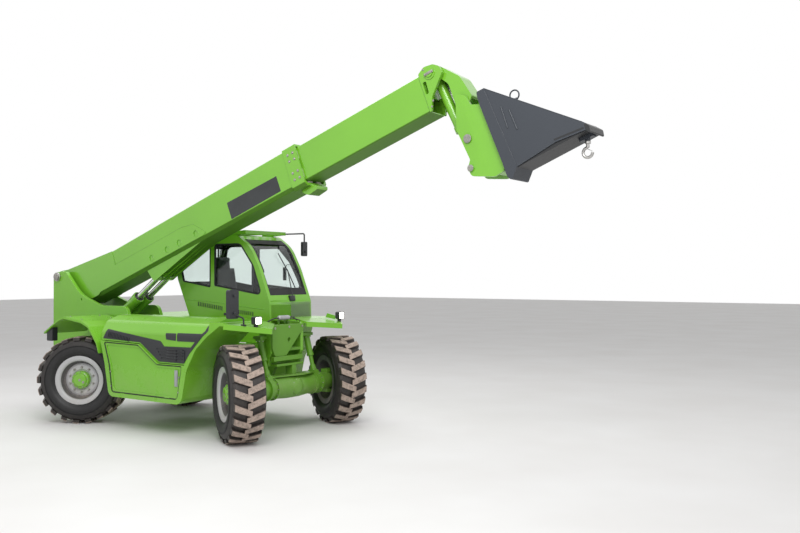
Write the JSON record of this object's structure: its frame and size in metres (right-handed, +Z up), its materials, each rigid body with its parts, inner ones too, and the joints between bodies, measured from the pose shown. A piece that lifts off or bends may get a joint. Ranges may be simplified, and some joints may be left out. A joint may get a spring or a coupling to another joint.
{
  "type": "telehandler",
  "caption": "Telehandler with a side-mounted cab, offset two-stage telescopic boom, quick coupler and hook jib, on steered lugged tyres",
  "frame": {"origin": "middle of the whole box in plan, on the ground plane under the tyres", "axes": "+X forward, the way the driver faces and the boom reaches; +Y to the driver's left, the cab's side; +Z up"},
  "size_m": [9.1362, 3.0278, 4.6901],
  "materials": {
    "body_green": "satin",
    "chassis_dark": "satin",
    "jib_grey": "satin",
    "steel": "brushed",
    "chrome_rod": "polished",
    "trim_black": "matte",
    "glass": "clear",
    "lamp_glass": "gloss",
    "cast": "rough",
    "rim_silver": "satin",
    "tyre": "matte",
    "seat_fabric": "woven"
  },
  "bodies": {
    "chassis": {"chassis_frame": "body_green", "chassis_crossmembers": "body_green", "rear_ballast": "cast", "front_axle": "body_green", "rear_axle": "body_green", "axle_struts": "chassis_dark", "side_body": "body_green", "engine_block": "cast", "fenders": "body_green", "lamps": "lamp_glass", "mirrors": "trim_black", "cab_frame": "body_green", "cab_glass": "glass", "roof_guard": "body_green", "seat_base": "trim_black", "seat_pads": "seat_fabric", "steering_console": "trim_black", "left_tank": "body_green", "chassis_pins": "steel"},
    "hood": {"engine_hood": "body_green", "hood_grille": "trim_black"},
    "side_door": {"service_door": "body_green"},
    "cab_door": {"cab_door": "body_green", "cab_door_glass": "glass"},
    "boom_outer": {"boom_outer": "body_green", "boom_pads": "trim_black"},
    "boom_inner": {"boom_inner": "body_green"},
    "coupler": {"coupler": "body_green", "jib": "jib_grey"},
    "hook": {"jib_hook": "steel"},
    "lift_barrels": {"lift_barrels": "body_green"},
    "lift_rods": {"lift_rods": "chrome_rod"},
    "tilt_barrel": {"tilt_barrel": "body_green"},
    "tilt_rod": {"tilt_rod": "chrome_rod"},
    "knuckle_front_right": {"knuckle_front_right": "body_green"},
    "wheel_front_right": {"rim_front_right": "rim_silver", "tyre_front_right": "tyre"},
    "knuckle_front_left": {"knuckle_front_left": "body_green"},
    "wheel_front_left": {"rim_front_left": "rim_silver", "tyre_front_left": "tyre"},
    "knuckle_rear_right": {"knuckle_rear_right": "body_green"},
    "wheel_rear_right": {"rim_rear_right": "rim_silver", "tyre_rear_right": "tyre"},
    "knuckle_rear_left": {"knuckle_rear_left": "body_green"},
    "wheel_rear_left": {"rim_rear_left": "rim_silver", "tyre_rear_left": "tyre"}
  },
  "joints": [
    {"name": "boom_lift", "type": "hinge", "parent": "chassis", "child": "boom_outer", "pos_m": [-4.34012, -0.06626, 2.11299], "axis": [0, -1, 0], "range_deg": [-19.5, 49.5]},
    {"name": "boom_extend", "type": "slide", "parent": "boom_outer", "child": "boom_inner", "axis": [0.9367, 0, 0.3502], "range_m": [-1.8, 1.55]},
    {"name": "tool_tilt", "type": "hinge", "parent": "boom_inner", "child": "coupler", "pos_m": [3.05509, -0.06626, 3.74948], "axis": [0, -1, 0], "range_deg": [-100, 12]},
    {"name": "hook_turn", "type": "hinge", "parent": "coupler", "child": "hook", "pos_m": [4.46195, -0.06626, 3.63107], "axis": [0, 0, 1], "continuous": true},
    {"name": "lift_barrel_swing", "type": "hinge", "parent": "chassis", "child": "lift_barrels", "pos_m": [-4.04812, -0.06626, 0.85399], "axis": [0, -1, 0], "range_deg": [-14.5, 36]},
    {"name": "lift_rod_slide", "type": "slide", "parent": "lift_barrels", "child": "lift_rods", "axis": [0.8131, 0, 0.5821], "range_m": [-0.38, 0.94]},
    {"name": "tilt_barrel_swing", "type": "hinge", "parent": "boom_inner", "child": "tilt_barrel", "pos_m": [2.51986, -0.06626, 4.58708], "axis": [0, -1, 0], "range_deg": [-15.5, 2.3]},
    {"name": "tilt_rod_slide", "type": "slide", "parent": "tilt_barrel", "child": "tilt_rod", "axis": [0.4386, 0, -0.8987], "range_m": [-0.46, 0.06]},
    {"name": "hood_open", "type": "hinge", "parent": "chassis", "child": "hood", "pos_m": [-1.39812, -0.48626, 1.55999], "axis": [-1, 0, 0], "range_deg": [0, 50]},
    {"name": "side_door_open", "type": "hinge", "parent": "chassis", "child": "side_door", "pos_m": [-1.39812, -1.19426, 0.51499], "axis": [1, 0, 0], "range_deg": [0, 80]},
    {"name": "cab_door_open", "type": "hinge", "parent": "chassis", "child": "cab_door", "pos_m": [-1.58212, 1.22774, 1.89999], "axis": [0, 0, 1], "range_deg": [0, 100]},
    {"name": "steer_front_right", "type": "hinge", "parent": "chassis", "child": "knuckle_front_right", "pos_m": [0.14188, -0.96826, 0.62749], "axis": [0, 0, 1], "range_deg": [-3, 69]},
    {"name": "spin_front_right", "type": "hinge", "parent": "knuckle_front_right", "child": "wheel_front_right", "pos_m": [0.12009, -1.0018, 0.62749], "axis": [0.5446, 0.8387, 0], "continuous": true},
    {"name": "steer_front_left", "type": "hinge", "parent": "chassis", "child": "knuckle_front_left", "pos_m": [0.14188, 0.99574, 0.62749], "axis": [0, 0, 1], "range_deg": [-2.85, 61.25]},
    {"name": "spin_front_left", "type": "hinge", "parent": "knuckle_front_left", "child": "wheel_front_left", "pos_m": [0.16139, 1.03066, 0.62749], "axis": [0.4879, 0.8729, 0], "continuous": true},
    {"name": "steer_rear_right", "type": "hinge", "parent": "chassis", "child": "knuckle_rear_right", "pos_m": [-2.93812, -0.96826, 0.62749], "axis": [0, 0, 1], "range_deg": [-67.1, 4.9]},
    {"name": "spin_rear_right", "type": "hinge", "parent": "knuckle_rear_right", "child": "wheel_rear_right", "pos_m": [-2.91746, -1.00251, 0.62749], "axis": [-0.5165, 0.8563, 0], "continuous": true},
    {"name": "steer_rear_left", "type": "hinge", "parent": "chassis", "child": "knuckle_rear_left", "pos_m": [-2.93812, 0.99574, 0.62749], "axis": [0, 0, 1], "range_deg": [-58.46, 4.45]},
    {"name": "spin_rear_left", "type": "hinge", "parent": "knuckle_rear_left", "child": "wheel_rear_left", "pos_m": [-2.95628, 1.03138, 0.62749], "axis": [-0.454, 0.891, 0], "continuous": true}
  ],
  "couplings": [
    {"joint": "steer_front_left", "follows": "steer_front_right", "ratio": 0.8848},
    {"joint": "steer_rear_left", "follows": "steer_rear_right", "ratio": 0.8682},
    {"joint": "lift_barrel_swing", "follows": "boom_lift", "ratio": 0.72},
    {"joint": "lift_rod_slide", "follows": "boom_lift", "m_per_rad": 1.07},
    {"joint": "tilt_barrel_swing", "follows": "tool_tilt", "ratio": 0.15},
    {"joint": "tilt_rod_slide", "follows": "tool_tilt", "m_per_rad": 0.258}
  ]
}
